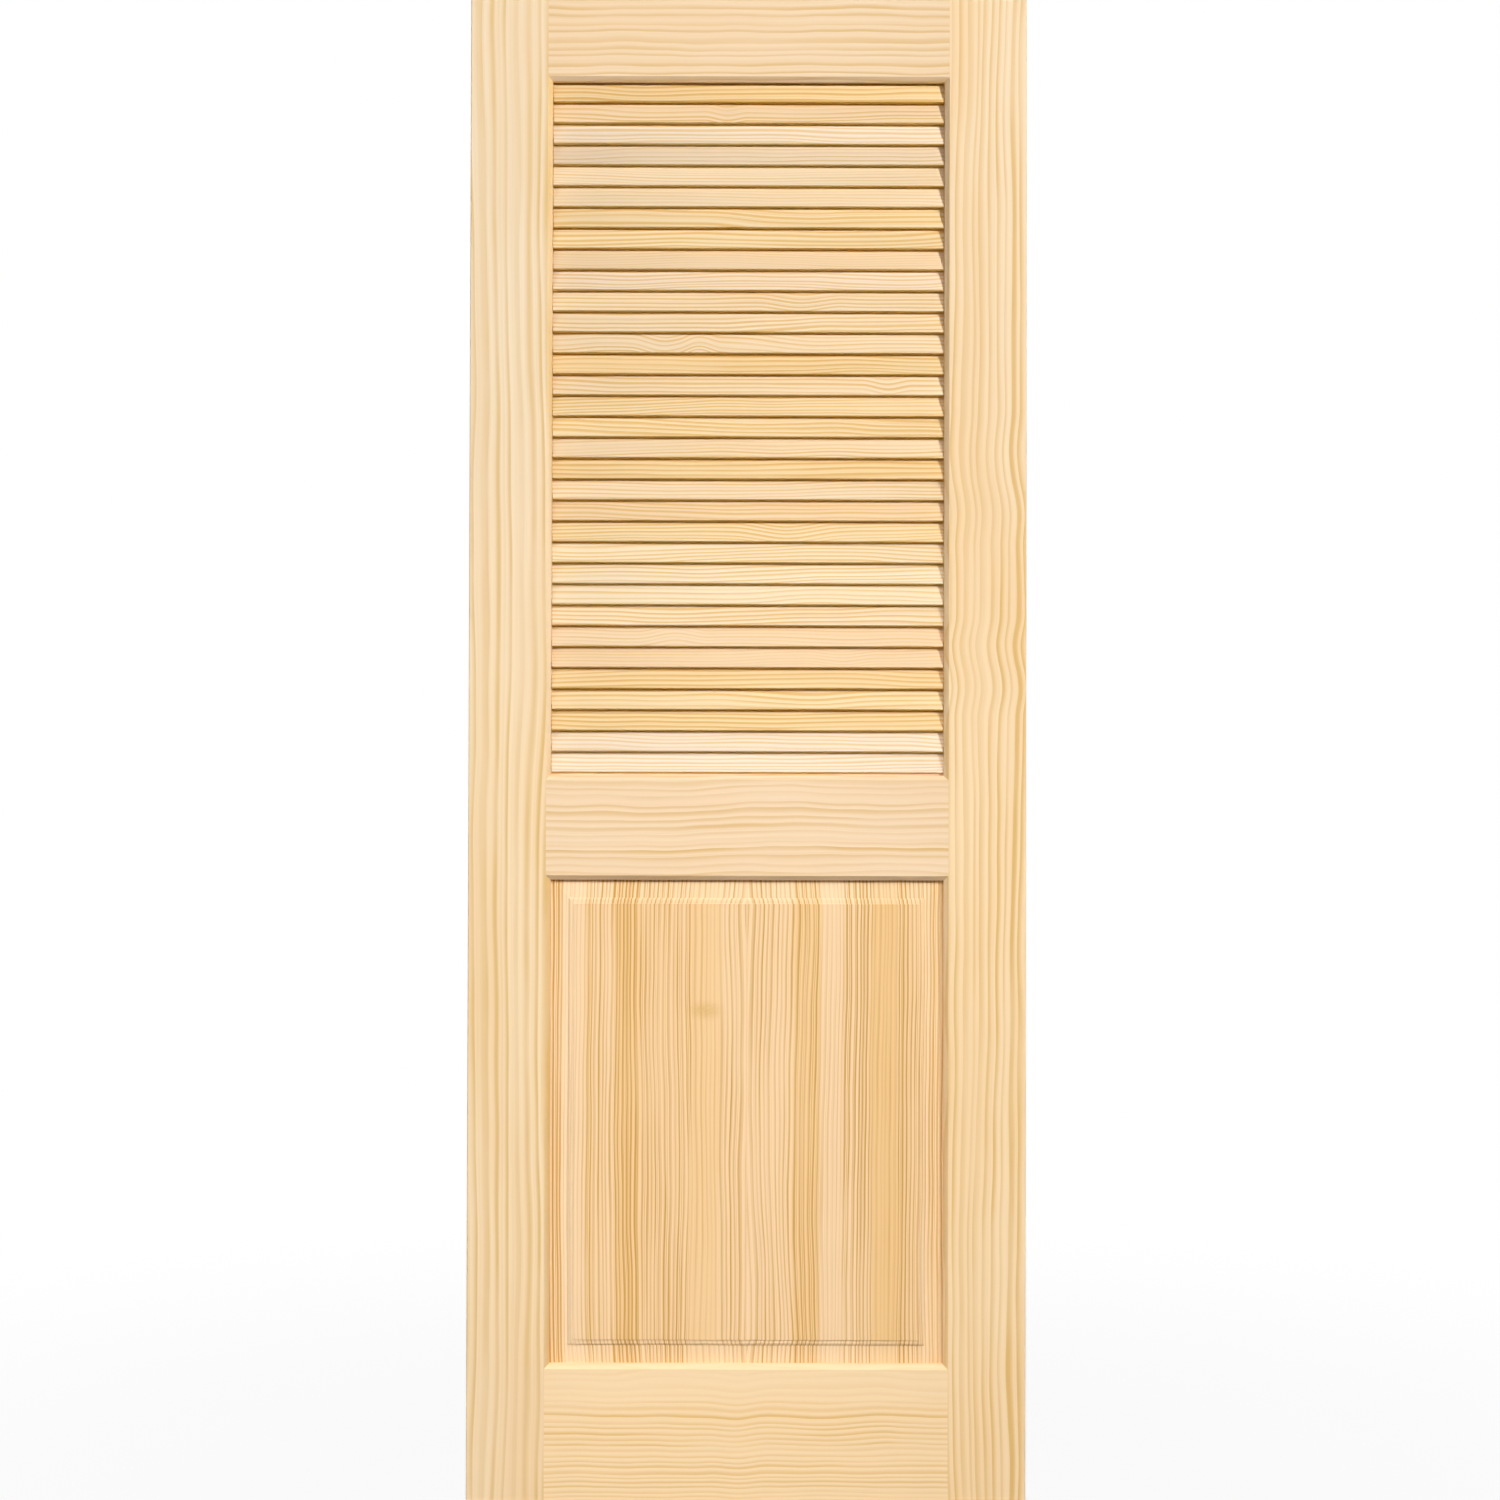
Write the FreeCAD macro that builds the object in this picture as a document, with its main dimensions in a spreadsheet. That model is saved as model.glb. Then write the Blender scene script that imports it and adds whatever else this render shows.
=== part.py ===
import FreeCAD, Part
import os
import Sketcher

# Louvred door leaf in solid pine: two stiles, three rails, fixed louvre slats above the
# lock rail and one raised panel below it. X runs from the hinge edge to the lock edge,
# the front looks along -Y, Z is up, and the origin is on the hinge edge, at the foot of
# the leaf and in the middle of its thickness. Lengths are millimetres.

# Driving sizes, each written once. The tilt is in degrees from level.
SIZES = (
    ("door_width", "755", "hinge edge to lock edge"),
    ("door_height", "2032", "foot to head"),
    ("door_thickness", "35", "front face to back face"),
    ("arris", "1", "bevel on the outer long edges of the stiles"),
    ("stile_width", "111", "outer edge to opening, sticking included"),
    ("top_rail_width", "111", "head to louvre opening"),
    ("lock_rail_width", "141.5", "louvre opening to panel opening"),
    ("bottom_rail_width", "182.5", "foot to panel opening"),
    ("panel_opening", "654", "height of the panel opening"),
    ("sticking_width", "6", "width of the bevel run on the inner edges"),
    ("sticking_depth", "6.5", "how far the bevel falls back from the face"),
    ("groove_width", "7.5", "groove for the rail tongues and the panel"),
    ("groove_depth", "12", "groove depth from the inner edge"),
    ("tongue_setback", "16", "how far tongue and groove stop short of the louvre opening"),
    ("joint_gap", "0.15", "room left in glued joints and beside the panel edge"),
    ("panel_play", "2", "room for the panel to swell, at its sides and head"),
    ("panel_thickness", "21.5", "thickness of the raised field"),
    ("hip_width", "25", "sloping margin of the panel that shows"),
    ("hip_rise", "2", "how much the sloping margin rises on each face"),
    ("panel_quirk", "1.6", "small steps on both sides of the panel's bead"),
    ("bead_width", "7", "rounded band between the margin and the field"),
    ("slat_width", "41", "slat section, along the slope"),
    ("slat_thickness", "5", "slat section, across the slope"),
    ("slat_round", "1", "rounding of the slat's four long edges"),
    ("slat_tilt", "70", "slope of the slats, front edge low"),
    ("slat_spacing", "28.5", "wanted distance from slat to slat"),
    ("slat_tenon", "28", "width of the stub tenon on each slat end"),
    ("tenon_thickness", "3.5", "thickness of that tenon"),
    ("slat_gap", "0.8", "gap between a slat's shoulders and the stile"),
    ("slat_seat", "8", "depth of the slanted mortises in the stiles"),
    ("slat_room", "0.25", "room round a tenon in its mortise, and round the top slat in its groove"),
    ("groove_room", "4", "room before the top slat in the top rail's groove"),
    ("slat_reveal", "3.1", "lowest slat's front edge above the lock rail"),
    ("slat_margin", "2.5", "height of the louvre opening that the even spacing leaves over"),
    ("ridge_height", "4", "rise of the lock rail behind the lowest slat, which closes the gap under it"),
    ("ridge_front", "3.5", "front of that ridge before the middle of the thickness"),
)

# Sizes worked out from the driving ones.
WORKED = (
    ("half_thickness", "Sizes.door_thickness / 2"),
    ("half_opening", "Sizes.door_width / 2 - Sizes.stile_width"),
    ("half_shoulder", "Worked.half_opening + Sizes.sticking_width"),
    ("bevel_level", "Worked.half_thickness - Sizes.sticking_depth"),
    ("lock_bottom", "Sizes.bottom_rail_width + Sizes.panel_opening"),
    ("lock_top", "Worked.lock_bottom + Sizes.lock_rail_width"),
    ("louvre_top", "Sizes.door_height - Sizes.top_rail_width"),
    ("louvre_opening", "Worked.louvre_top - Worked.lock_top"),
    ("half_tongue", "Sizes.groove_width / 2 - Sizes.joint_gap"),
    ("tongue_reach", "Worked.half_opening + Sizes.groove_depth - Sizes.joint_gap"),
    ("slat_count", "round(Worked.louvre_opening / Sizes.slat_spacing)"),
    ("slat_pitch", "(Worked.louvre_opening - Sizes.slat_margin) / Worked.slat_count"),
    ("half_slat", "Sizes.slat_thickness / 2"),
    ("slat_reach", "Sizes.slat_width / 2"),
    ("slat_rise", "Worked.slat_reach * sin(Sizes.slat_tilt * 1 deg)"),
    ("slat_drop", "Worked.slat_rise + Worked.half_slat * cos(Sizes.slat_tilt * 1 deg)"),
    ("first_slat", "Worked.lock_top + Sizes.slat_reveal + Worked.slat_drop"),
    ("last_slat", "Worked.first_slat + (Worked.slat_count - 1) * Worked.slat_pitch"),
    ("panel_half", "Worked.half_opening + Sizes.groove_depth - Sizes.panel_play"),
    ("panel_foot", "Sizes.bottom_rail_width - Sizes.groove_depth + Sizes.joint_gap"),
    ("panel_head", "Worked.lock_bottom + Sizes.groove_depth - Sizes.panel_play"),
    ("panel_height", "Worked.panel_head - Worked.panel_foot"),
    ("half_field", "Sizes.panel_thickness / 2"),
    ("hip_top", "Worked.half_tongue + Sizes.hip_rise"),
    ("bead_foot", "Worked.hip_top + Sizes.panel_quirk"),
    ("bead_top", "Worked.half_field - Sizes.panel_quirk"),
    ("bead_rise", "Worked.bead_top - Worked.bead_foot"),
    ("bead_radius", "(Sizes.bead_width ^ 2 + Worked.bead_rise ^ 2) / (2 * Worked.bead_rise)"),
    ("loose_tongue", "Sizes.groove_depth - Sizes.panel_play"),
    ("seated_tongue", "Sizes.groove_depth - Sizes.joint_gap"),
)

doc = FreeCAD.newDocument("louvred_door")


def fill_sheets():
    """One sheet of driving sizes, and one of the sizes that follow from them."""
    sizes = doc.addObject("Spreadsheet::Sheet", "Sizes")
    for row, (name, number, note) in enumerate(SIZES, start=1):
        sizes.set(f"A{row}", name)
        sizes.set(f"B{row}", number)
        sizes.set(f"C{row}", note)
        sizes.setAlias(f"B{row}", name)
    doc.recompute()
    worked = doc.addObject("Spreadsheet::Sheet", "Worked")
    for row, (name, rule) in enumerate(WORKED, start=1):
        worked.set(f"A{row}", name)
        worked.setAlias(f"B{row}", name)
        worked.set(f"B{row}", "=" + rule.replace("Worked.", ""))
    doc.recompute()
    return worked


worked = fill_sheets()


def work_out(rule):
    """The number that a rule on the sheets gives now."""
    return float(worked.evalExpression(rule))


def mirrored(rule):
    """The rule for the same distance on the other side of the middle."""
    return f"-({rule})"


def origin_plane(body, role):
    """One of a body's own origin planes."""
    for feature in body.Origin.OriginFeatures:
        if feature.Role == role:
            return feature
    raise ValueError(f"no origin plane {role}")


def add_body(label, across, height):
    """An empty sub-part with its place in the leaf."""
    body = doc.addObject("PartDesign::Body", label)
    body.Label = label
    body.setExpression("Placement.Base.x", across)
    body.setExpression("Placement.Base.z", height)
    return body


def add_sketch(body, name, role):
    """A sketch on one of the body's origin planes."""
    sketch = body.newObject("Sketcher::SketchObject", f"{body.Name}_{name}")
    sketch.AttachmentSupport = [(origin_plane(body, role), "")]
    sketch.MapMode = "FlatFace"
    return sketch


def fix_point(sketch, side, end, axis, rule):
    """Hold one coordinate of a point of the sketch to a rule."""
    index = sketch.addConstraint(Sketcher.Constraint(axis, side, end, work_out(rule)))
    sketch.setExpression(f"Constraints[{index}]", rule)


def draw_outline(sketch, corners):
    """Closed outline through corners given as rules (across, up).

    A corner that an arc leaves has three more values: the arc's centre and +1 where the
    arc turns left or -1 where it turns right.
    """
    first = sketch.GeometryCount
    total = len(corners)
    points = [FreeCAD.Vector(work_out(c[0]), work_out(c[1]), 0) for c in corners]
    ends = []
    for number, corner in enumerate(corners):
        start = points[number]
        finish = points[(number + 1) % total]
        if len(corner) == 2:
            sketch.addGeometry(Part.LineSegment(start, finish))
            ends.append((1, 2))
            continue
        centre = FreeCAD.Vector(work_out(corner[2]), work_out(corner[3]), 0)
        left_turn = corner[4] > 0
        low, high = (start, finish) if left_turn else (finish, start)
        circle = Part.Circle(centre, FreeCAD.Vector(0, 0, 1), (start - centre).Length)
        sketch.addGeometry(Part.ArcOfCircle(circle, circle.parameter(low), circle.parameter(high)))
        ends.append((1, 2) if left_turn else (2, 1))
    for number, corner in enumerate(corners):
        side = first + number
        following = (number + 1) % total
        sketch.addConstraint(
            Sketcher.Constraint("Coincident", side, ends[number][1], first + following, ends[following][0])
        )
        fix_point(sketch, side, ends[number][0], "DistanceX", corner[0])
        fix_point(sketch, side, ends[number][0], "DistanceY", corner[1])
        if len(corner) > 2:
            chord = points[following] - points[number]
            if abs(chord.x) > abs(chord.y):
                fix_point(sketch, side, 3, "DistanceY", corner[3])
            else:
                fix_point(sketch, side, 3, "DistanceX", corner[2])


def draw_box(sketch, left, right, low, high):
    """Rectangle between four rules."""
    draw_outline(sketch, ((left, low), (right, low), (right, high), (left, high)))


def draw_rounded_box(sketch, half_length, half_width, radius):
    """Rectangle with rounded corners about the sketch's origin."""
    right = f"{half_length} - {radius}"
    left = mirrored(right)
    high = f"{half_width} - {radius}"
    low = mirrored(high)
    draw_outline(sketch, (
        (left, mirrored(half_width)),
        (right, mirrored(half_width), right, low, 1),
        (half_length, low),
        (half_length, high, right, high, 1),
        (right, half_width),
        (left, half_width, left, high, 1),
        (mirrored(half_length), high),
        (mirrored(half_length), low, left, low, 1),
    ))


def add_pad(body, name, sketch, length, symmetric=False):
    """Board thickness or length grown from a sketch."""
    pad = body.newObject("PartDesign::Pad", f"{body.Name}_{name}")
    pad.Profile = sketch
    pad.SideType = "Symmetric" if symmetric else "One side"
    pad.setExpression("Length", length)
    body.Tip = pad
    return pad


def add_pocket(body, name, sketch, depth=None):
    """Cut to a depth behind the sketch, or right through along its normal."""
    pocket = body.newObject("PartDesign::Pocket", f"{body.Name}_{name}")
    pocket.Profile = sketch
    if depth is None:
        pocket.Type = "ThroughAll"
        pocket.SideType = "Symmetric"
    else:
        pocket.Type = "Length"
        pocket.setExpression("Length", depth)
    body.Tip = pocket
    return pocket


def make_left_stile():
    """Hinge stile: sticking on both inner edges, grooves, and a slanted mortise for each slat."""
    body = add_body("left_stile", "0", "0")
    width = "Sizes.stile_width"
    flat = "Sizes.stile_width - Sizes.sticking_width"
    face = "Worked.half_thickness"
    land = "Worked.bevel_level"
    eased = "Worked.half_thickness - Sizes.arris"

    section = add_sketch(body, "section", "XY_Plane")
    draw_outline(section, (
        ("0", mirrored(eased)),
        ("Sizes.arris", mirrored(face)),
        (flat, mirrored(face)),
        (width, mirrored(land)),
        (width, land),
        (flat, face),
        ("Sizes.arris", face),
        ("0", eased),
    ))
    add_pad(body, "length", section, "Sizes.door_height")

    half_groove = "Sizes.groove_width / 2"
    grooves = add_sketch(body, "groove_lines", "YZ_Plane")
    grooves.setExpression("AttachmentOffset.Base.z", width)
    draw_box(grooves, mirrored(half_groove), half_groove, "0", "Worked.lock_top - Sizes.tongue_setback")
    draw_box(grooves, mirrored(half_groove), half_groove,
             "Worked.louvre_top + Sizes.tongue_setback", "Sizes.door_height")
    add_pocket(body, "grooves", grooves, "Sizes.groove_depth")

    slot = add_sketch(body, "mortise_line", "YZ_Plane")
    slot.setExpression("AttachmentOffset.Base.z", width)
    slot.setExpression("AttachmentOffset.Base.y", "Worked.first_slat")
    slot.setExpression("AttachmentOffset.Rotation.Angle", "Sizes.slat_tilt")
    half_length = "Sizes.slat_tenon / 2 + Sizes.slat_room"
    half_width = "Sizes.tenon_thickness / 2 + Sizes.slat_room"
    draw_box(slot, mirrored(half_length), half_length, mirrored(half_width), half_width)
    mortise = add_pocket(body, "mortise", slot, "Sizes.slat_seat")

    row = body.newObject("PartDesign::LinearPattern", f"{body.Name}_mortises")
    row.Originals = [mortise]
    row.Direction = (origin_plane(body, "Z_Axis"), [""])
    row.Mode = "Extent"
    row.setExpression("Length", "Worked.last_slat - Worked.first_slat")
    row.setExpression("Occurrences", "Worked.slat_count")
    body.Tip = row
    return body


def make_right_stile(left_stile):
    """Lock stile: the mirror image of the hinge stile."""
    stile = doc.addObject("Part::Mirroring", "right_stile")
    stile.Label = "right_stile"
    stile.Source = left_stile
    stile.Normal = FreeCAD.Vector(1, 0, 0)
    stile.setExpression("Base.x", "Sizes.door_width / 2")
    return stile


def make_rail(label, foot, width, tongue_foot, tongue_head):
    """Rail coped over the stiles' sticking at both ends, with a tongue into their grooves."""
    body = add_body(label, "Sizes.door_width / 2", foot)
    face = "Worked.half_thickness"
    land = "Worked.bevel_level"
    end = "Worked.half_shoulder"
    shoulder = "Worked.half_opening - Sizes.joint_gap"

    plan = add_sketch(body, "plan", "XY_Plane")
    draw_outline(plan, (
        (mirrored(end), mirrored(face)),
        (end, mirrored(face)),
        (shoulder, mirrored(land)),
        (shoulder, land),
        (end, face),
        (mirrored(end), face),
        (mirrored(shoulder), land),
        (mirrored(shoulder), mirrored(land)),
    ))
    add_pad(body, "width", plan, width)

    tongue = add_sketch(body, "tongue_line", "XZ_Plane")
    reach = "Worked.tongue_reach"
    draw_box(tongue, mirrored(reach), reach, tongue_foot, tongue_head)
    add_pad(body, "tongue", tongue, "2 * Worked.half_tongue", symmetric=True)
    return body


def cut_sticking(body, name, edge, inward):
    """Bevel on the front and back of a rail's edge; inward is + or - towards the rail's middle."""
    waste = add_sketch(body, name, "YZ_Plane")
    line = f"{edge} {inward} Sizes.sticking_width"
    face = "Worked.half_thickness"
    land = "Worked.bevel_level"
    for side in (mirrored, str):
        draw_outline(waste, ((side(land), edge), (side(face), line), (side(face), edge)))
    add_pocket(body, f"{name}_cut", waste)


def cut_panel_groove(body, name, low, high):
    """Groove for the panel along the middle of a rail's edge."""
    line = add_sketch(body, name, "YZ_Plane")
    half_groove = "Sizes.groove_width / 2"
    draw_box(line, mirrored(half_groove), half_groove, low, high)
    add_pocket(body, f"{name}_cut", line)


def make_top_rail():
    """Top rail: sticking below, and a slanted groove that takes the top slat's upper edge."""
    width = "Sizes.top_rail_width"
    body = make_rail("top_rail", "Worked.louvre_top", width, "Sizes.tongue_setback", width)
    cut_sticking(body, "lower_sticking", "0", "+")
    slot = add_sketch(body, "slat_groove", "YZ_Plane")
    slot.setExpression("AttachmentOffset.Base.y", "Worked.last_slat - Worked.louvre_top")
    slot.setExpression("AttachmentOffset.Rotation.Angle", "Sizes.slat_tilt")
    reach = "Worked.slat_reach + Sizes.slat_room"
    back = "Worked.half_slat + Sizes.slat_room"
    draw_box(slot, mirrored(reach), reach, mirrored(back), "Worked.half_slat + Sizes.groove_room")
    add_pocket(body, "slat_groove_cut", slot)
    return body


def make_lock_rail():
    """Lock rail: sticking on both edges, panel groove below, and a low ridge behind the lowest slat."""
    width = "Sizes.lock_rail_width"
    body = make_rail("lock_rail", "Worked.lock_bottom", width, "0", f"{width} - Sizes.tongue_setback")
    cut_sticking(body, "lower_sticking", "0", "+")
    cut_sticking(body, "upper_sticking", width, "-")
    cut_panel_groove(body, "panel_groove", "0", "Sizes.groove_depth")
    ridge = add_sketch(body, "ridge_section", "YZ_Plane")
    draw_box(ridge, mirrored("Sizes.ridge_front"), "Worked.bevel_level",
             f"{width} - Sizes.ridge_height", f"{width} + Sizes.ridge_height")
    add_pad(body, "ridge", ridge, "2 * (Worked.half_opening - Sizes.joint_gap)", symmetric=True)
    return body


def make_bottom_rail():
    """Bottom rail: sticking and panel groove above, square below."""
    width = "Sizes.bottom_rail_width"
    body = make_rail("bottom_rail", "0", width, "0", width)
    cut_sticking(body, "upper_sticking", width, "-")
    cut_panel_groove(body, "panel_groove", f"{width} - Sizes.groove_depth", width)
    return body


def raise_edge(body, name, role, edge, inward, tongue_depth):
    """Raise both faces along one panel edge: tongue, sloping margin, beaded step, field.

    The sketch plane is the level one for the side edges and the upright one for head and foot.
    """
    upright = role == "YZ_Plane"
    hip = f"{edge} {inward} {tongue_depth}"
    bead = f"{hip} {inward} Sizes.hip_width"
    field = f"{bead} {inward} Sizes.bead_width"
    centre = "Worked.bead_top - Worked.bead_radius"
    waste = add_sketch(body, name, role)
    for side in (str, mirrored):
        profile = (
            (edge, side("Worked.half_tongue")),
            (hip, side("Worked.half_tongue")),
            (bead, side("Worked.hip_top")),
            (bead, side("Worked.bead_foot"), field, side(centre)),
            (field, side("Worked.bead_top")),
            (field, side("Worked.half_field")),
            (edge, side("Worked.half_field")),
        )
        left_turn = (inward == "+") == upright
        turn = 1 if left_turn == (side is str) else -1
        draw_outline(waste, [place_corner(corner, upright, turn) for corner in profile])
    add_pocket(body, f"{name}_cut", waste)


def place_corner(corner, upright, turn):
    """A profile corner as (across, up), where an upright sketch has the level across."""
    pairs = [corner[at:at + 2] for at in range(0, len(corner), 2)]
    placed = [value for pair in pairs for value in (reversed(pair) if upright else pair)]
    return placed + [turn] if len(pairs) > 1 else placed


def make_raised_panel():
    """Panel raised on both faces, loose in the grooves and resting in the bottom rail's."""
    body = add_body("raised_panel", "Sizes.door_width / 2", "Worked.panel_foot")
    side = "Worked.panel_half"
    height = "Worked.panel_height"
    blank = add_sketch(body, "blank", "XZ_Plane")
    draw_box(blank, mirrored(side), side, "0", height)
    add_pad(body, "thickness", blank, "Sizes.panel_thickness", symmetric=True)
    raise_edge(body, "left_edge", "XY_Plane", mirrored(side), "+", "Worked.loose_tongue")
    raise_edge(body, "right_edge", "XY_Plane", side, "-", "Worked.loose_tongue")
    raise_edge(body, "foot_edge", "YZ_Plane", "0", "+", "Worked.seated_tongue")
    raise_edge(body, "head_edge", "YZ_Plane", height, "-", "Worked.loose_tongue")
    return body


def make_slat(number):
    """One fixed slat: eased edges, and a square stub tenon in each stile's slanted mortise."""
    height = f"Worked.first_slat + {number} * Worked.slat_pitch"
    body = add_body(f"louvre_slat_{number + 1:02d}", "Sizes.door_width / 2", height)
    body.Placement.Rotation = FreeCAD.Rotation(FreeCAD.Vector(1, 0, 0), work_out("Sizes.slat_tilt"))
    body.setExpression("Placement.Rotation.Angle", "Sizes.slat_tilt")
    section = add_sketch(body, "section", "YZ_Plane")
    draw_rounded_box(section, "Worked.slat_reach", "Worked.half_slat", "Sizes.slat_round")
    add_pad(body, "length", section, "2 * (Worked.half_opening - Sizes.slat_gap)", symmetric=True)
    half_width = "Sizes.slat_tenon / 2"
    half_thickness = "Sizes.tenon_thickness / 2"
    tenon = add_sketch(body, "tenon_section", "YZ_Plane")
    draw_box(tenon, mirrored(half_width), half_width, mirrored(half_thickness), half_thickness)
    reach = "2 * (Worked.half_opening + Sizes.slat_seat - Sizes.joint_gap)"
    add_pad(body, "tenons", tenon, reach, symmetric=True)
    return body


def make_leaf():
    """Every sub-part of the leaf."""
    left_stile = make_left_stile()
    parts = [left_stile, make_right_stile(left_stile)]
    parts += [make_top_rail(), make_lock_rail(), make_bottom_rail(), make_raised_panel()]
    parts += [make_slat(number) for number in range(round(work_out("Worked.slat_count")))]
    return parts


def check_and_export(parts):
    """Stop on any failed object or unsound solid, then write one file for each sub-part."""
    doc.recompute()
    for item in doc.Objects:
        if "Invalid" in item.State or "Error" in item.State:
            raise RuntimeError(f"{item.Label} failed: {item.State}")
    for part in parts:
        if part.Shape.isNull() or not part.Shape.isValid() or len(part.Shape.Solids) != 1:
            raise RuntimeError(f"{part.Label} is not one sound solid")
    os.makedirs("parts", exist_ok=True)
    for part in parts:
        part.Shape.exportStep(f"parts/{part.Label}.step")
        box = part.Shape.BoundBox
        print(f"{part.Label}: volume {part.Shape.Volume:.0f}, x {box.XMin:.2f} to {box.XMax:.2f}, "
              f"y {box.YMin:.2f} to {box.YMax:.2f}, z {box.ZMin:.2f} to {box.ZMax:.2f}")


check_and_export(make_leaf())
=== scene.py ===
import math
import random

import bpy
from mathutils import Matrix, Vector


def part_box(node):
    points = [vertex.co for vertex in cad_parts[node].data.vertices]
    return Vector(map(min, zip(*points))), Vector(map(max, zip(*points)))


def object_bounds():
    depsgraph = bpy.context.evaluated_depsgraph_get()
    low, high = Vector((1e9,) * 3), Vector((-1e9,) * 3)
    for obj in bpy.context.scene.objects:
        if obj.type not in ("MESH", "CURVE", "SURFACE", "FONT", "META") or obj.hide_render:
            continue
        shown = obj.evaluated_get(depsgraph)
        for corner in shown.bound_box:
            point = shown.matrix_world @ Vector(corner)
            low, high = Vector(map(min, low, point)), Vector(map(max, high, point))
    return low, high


# Louvred pine door leaf: every piece is a board of its own, cut from a solid field of
# growth rings, so the figure runs round edges and mouldings and shows as end grain.
# Lengths are metres, X runs from the hinge edge to the lock edge, the front looks along
# -Y and Z is up. A board's own axes are across, depth (square to its face) and along the
# fibres.

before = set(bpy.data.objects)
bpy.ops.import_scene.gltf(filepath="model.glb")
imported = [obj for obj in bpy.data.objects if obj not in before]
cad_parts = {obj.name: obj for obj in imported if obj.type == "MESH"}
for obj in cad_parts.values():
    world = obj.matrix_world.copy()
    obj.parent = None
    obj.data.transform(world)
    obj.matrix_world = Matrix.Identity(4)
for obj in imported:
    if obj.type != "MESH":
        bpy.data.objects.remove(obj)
cad_low, cad_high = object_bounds()

LEAF_MIDDLE = (cad_low + cad_high) / 2
FRONT_FACE = cad_low.y
SLATS = sorted(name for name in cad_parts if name.startswith("louvre_slat"))
UP = (0.0, 0.0, 1.0)
RIGHT = (1.0, 0.0, 0.0)

# Camera: upright, in front of the leaf, whose height fills the square picture.
CAMERA_DISTANCE = 3.6
CAMERA_HEIGHT = 0.97
CAMERA_ROLL = math.radians(-0.14)
CAMERA_SIDE_SHIFT = 0.0018
CAMERA_CROP = 0.999
SENSOR_WIDTH = 36.0

# Studio lamps: name, place, aim, size, full angle of the beam in degrees, and the
# brightness that the lamp gives a white face at the middle of the leaf. The key stands to
# the right and favours the louvres, the front lamp favours the panel, and the rear lamps
# light the back.
LAMPS = (
    ("key", (4.6, -5.2, 3.2), (0.1, 0.0, 2.1), 0.4, 50.0, 0.49),
    ("front", (0.38, -5.0, 4.9), (0.38, 0.0, -0.5), 0.6, 30.0, 0.27),
    ("fill", (-4.3, -5.2, 3.2), (0.38, 0.0, 0.8), 0.5, 100.0, 0.19),
    ("rear_key", (-3.4, 5.3, 3.2), (0.38, 0.0, 1.0), 0.6, 100.0, 0.45),
    ("rear_fill", (3.6, 5.3, 3.6), (0.38, 0.0, 1.0), 0.6, 100.0, 0.2),
)
AMBIENT_LEVEL = 0.06

# Floor: pale, keeps the leaf's shadow, and fades into the white background.
FLOOR_HALF = 9.0
FLOOR_DROP = 0.0006
FLOOR_TONE = (140, 139, 136)
FLOOR_WHITE_NEAR = 0.94
FLOOR_FADE_START = 0.5
FLOOR_FADE_END = 2.4

# Softened arrises, as sandpaper leaves them. Corners that coincide are joined first.
WELD_DISTANCE = 0.00001
ARRIS_SEGMENTS = 2
ARRIS_WIDTH = 0.0005
ARRIS_ANGLE = math.radians(35)

# How fibres and growth rings look, shared by every board. Scales are waves in a metre, a
# stretch below 1 draws a pattern out along the fibres, and a range is the part of a noise
# that goes over into the pattern.
NOISE_MIDDLE = (0.5, 0.5, 0.5)
SWAY_ROUGHNESS = 0.45
WANDER_SCALE = 9.0
RIPPLE_SCALE = 34.0
RING_DRIFT_SCALE = 60.0
RING_DRIFT = 1.0
RING_WEAKEST = 0.5
RING_GROUP_SCALE = 26.0
RING_GROUP_RANGE = (0.3, 0.7)
RING_GROUP_STRENGTH = (0.65, 1.15)
FINE_RINGS = 2.6
FADE_SCALE = 30.0
FADE_STRETCH = 0.12
FADE_RANGE = (0.35, 0.6)
FADE_LOW = 0.6
FIBRE_SCALE = 620.0
FIBRE_DETAIL = 3.0
FIBRE_ROUGHNESS = 0.6
FIBRE_STRETCH = 0.014
FIBRE_SHADE = 0.07
CLOUD_SCALE = 13.0
CLOUD_STRETCH = 0.16
CLOUD_RANGE = (0.35, 0.65)

# Where in a ring, from 0 to 1, the late wood is darkest, and where it breaks off.
LATE_PEAK = 0.82
LATE_END = 0.86

# Shine and relief of planed wood. Depth is in metres.
WOOD_ROUGHNESS = 0.62
LATE_ROUGHNESS = 0.52
LATE_RELIEF = 0.5
WOOD_SPECULAR = 0.15
BUMP_DEPTH = 0.00012
BUMP_STRENGTH = 0.6


def linear(red, green, blue):
    """A colour written as screen values from 0 to 255, for a shader."""
    def channel(value):
        share = value / 255
        return share / 12.92 if share <= 0.04045 else ((share + 0.055) / 1.055) ** 2.4
    return (channel(red), channel(green), channel(blue), 1.0)


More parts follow.
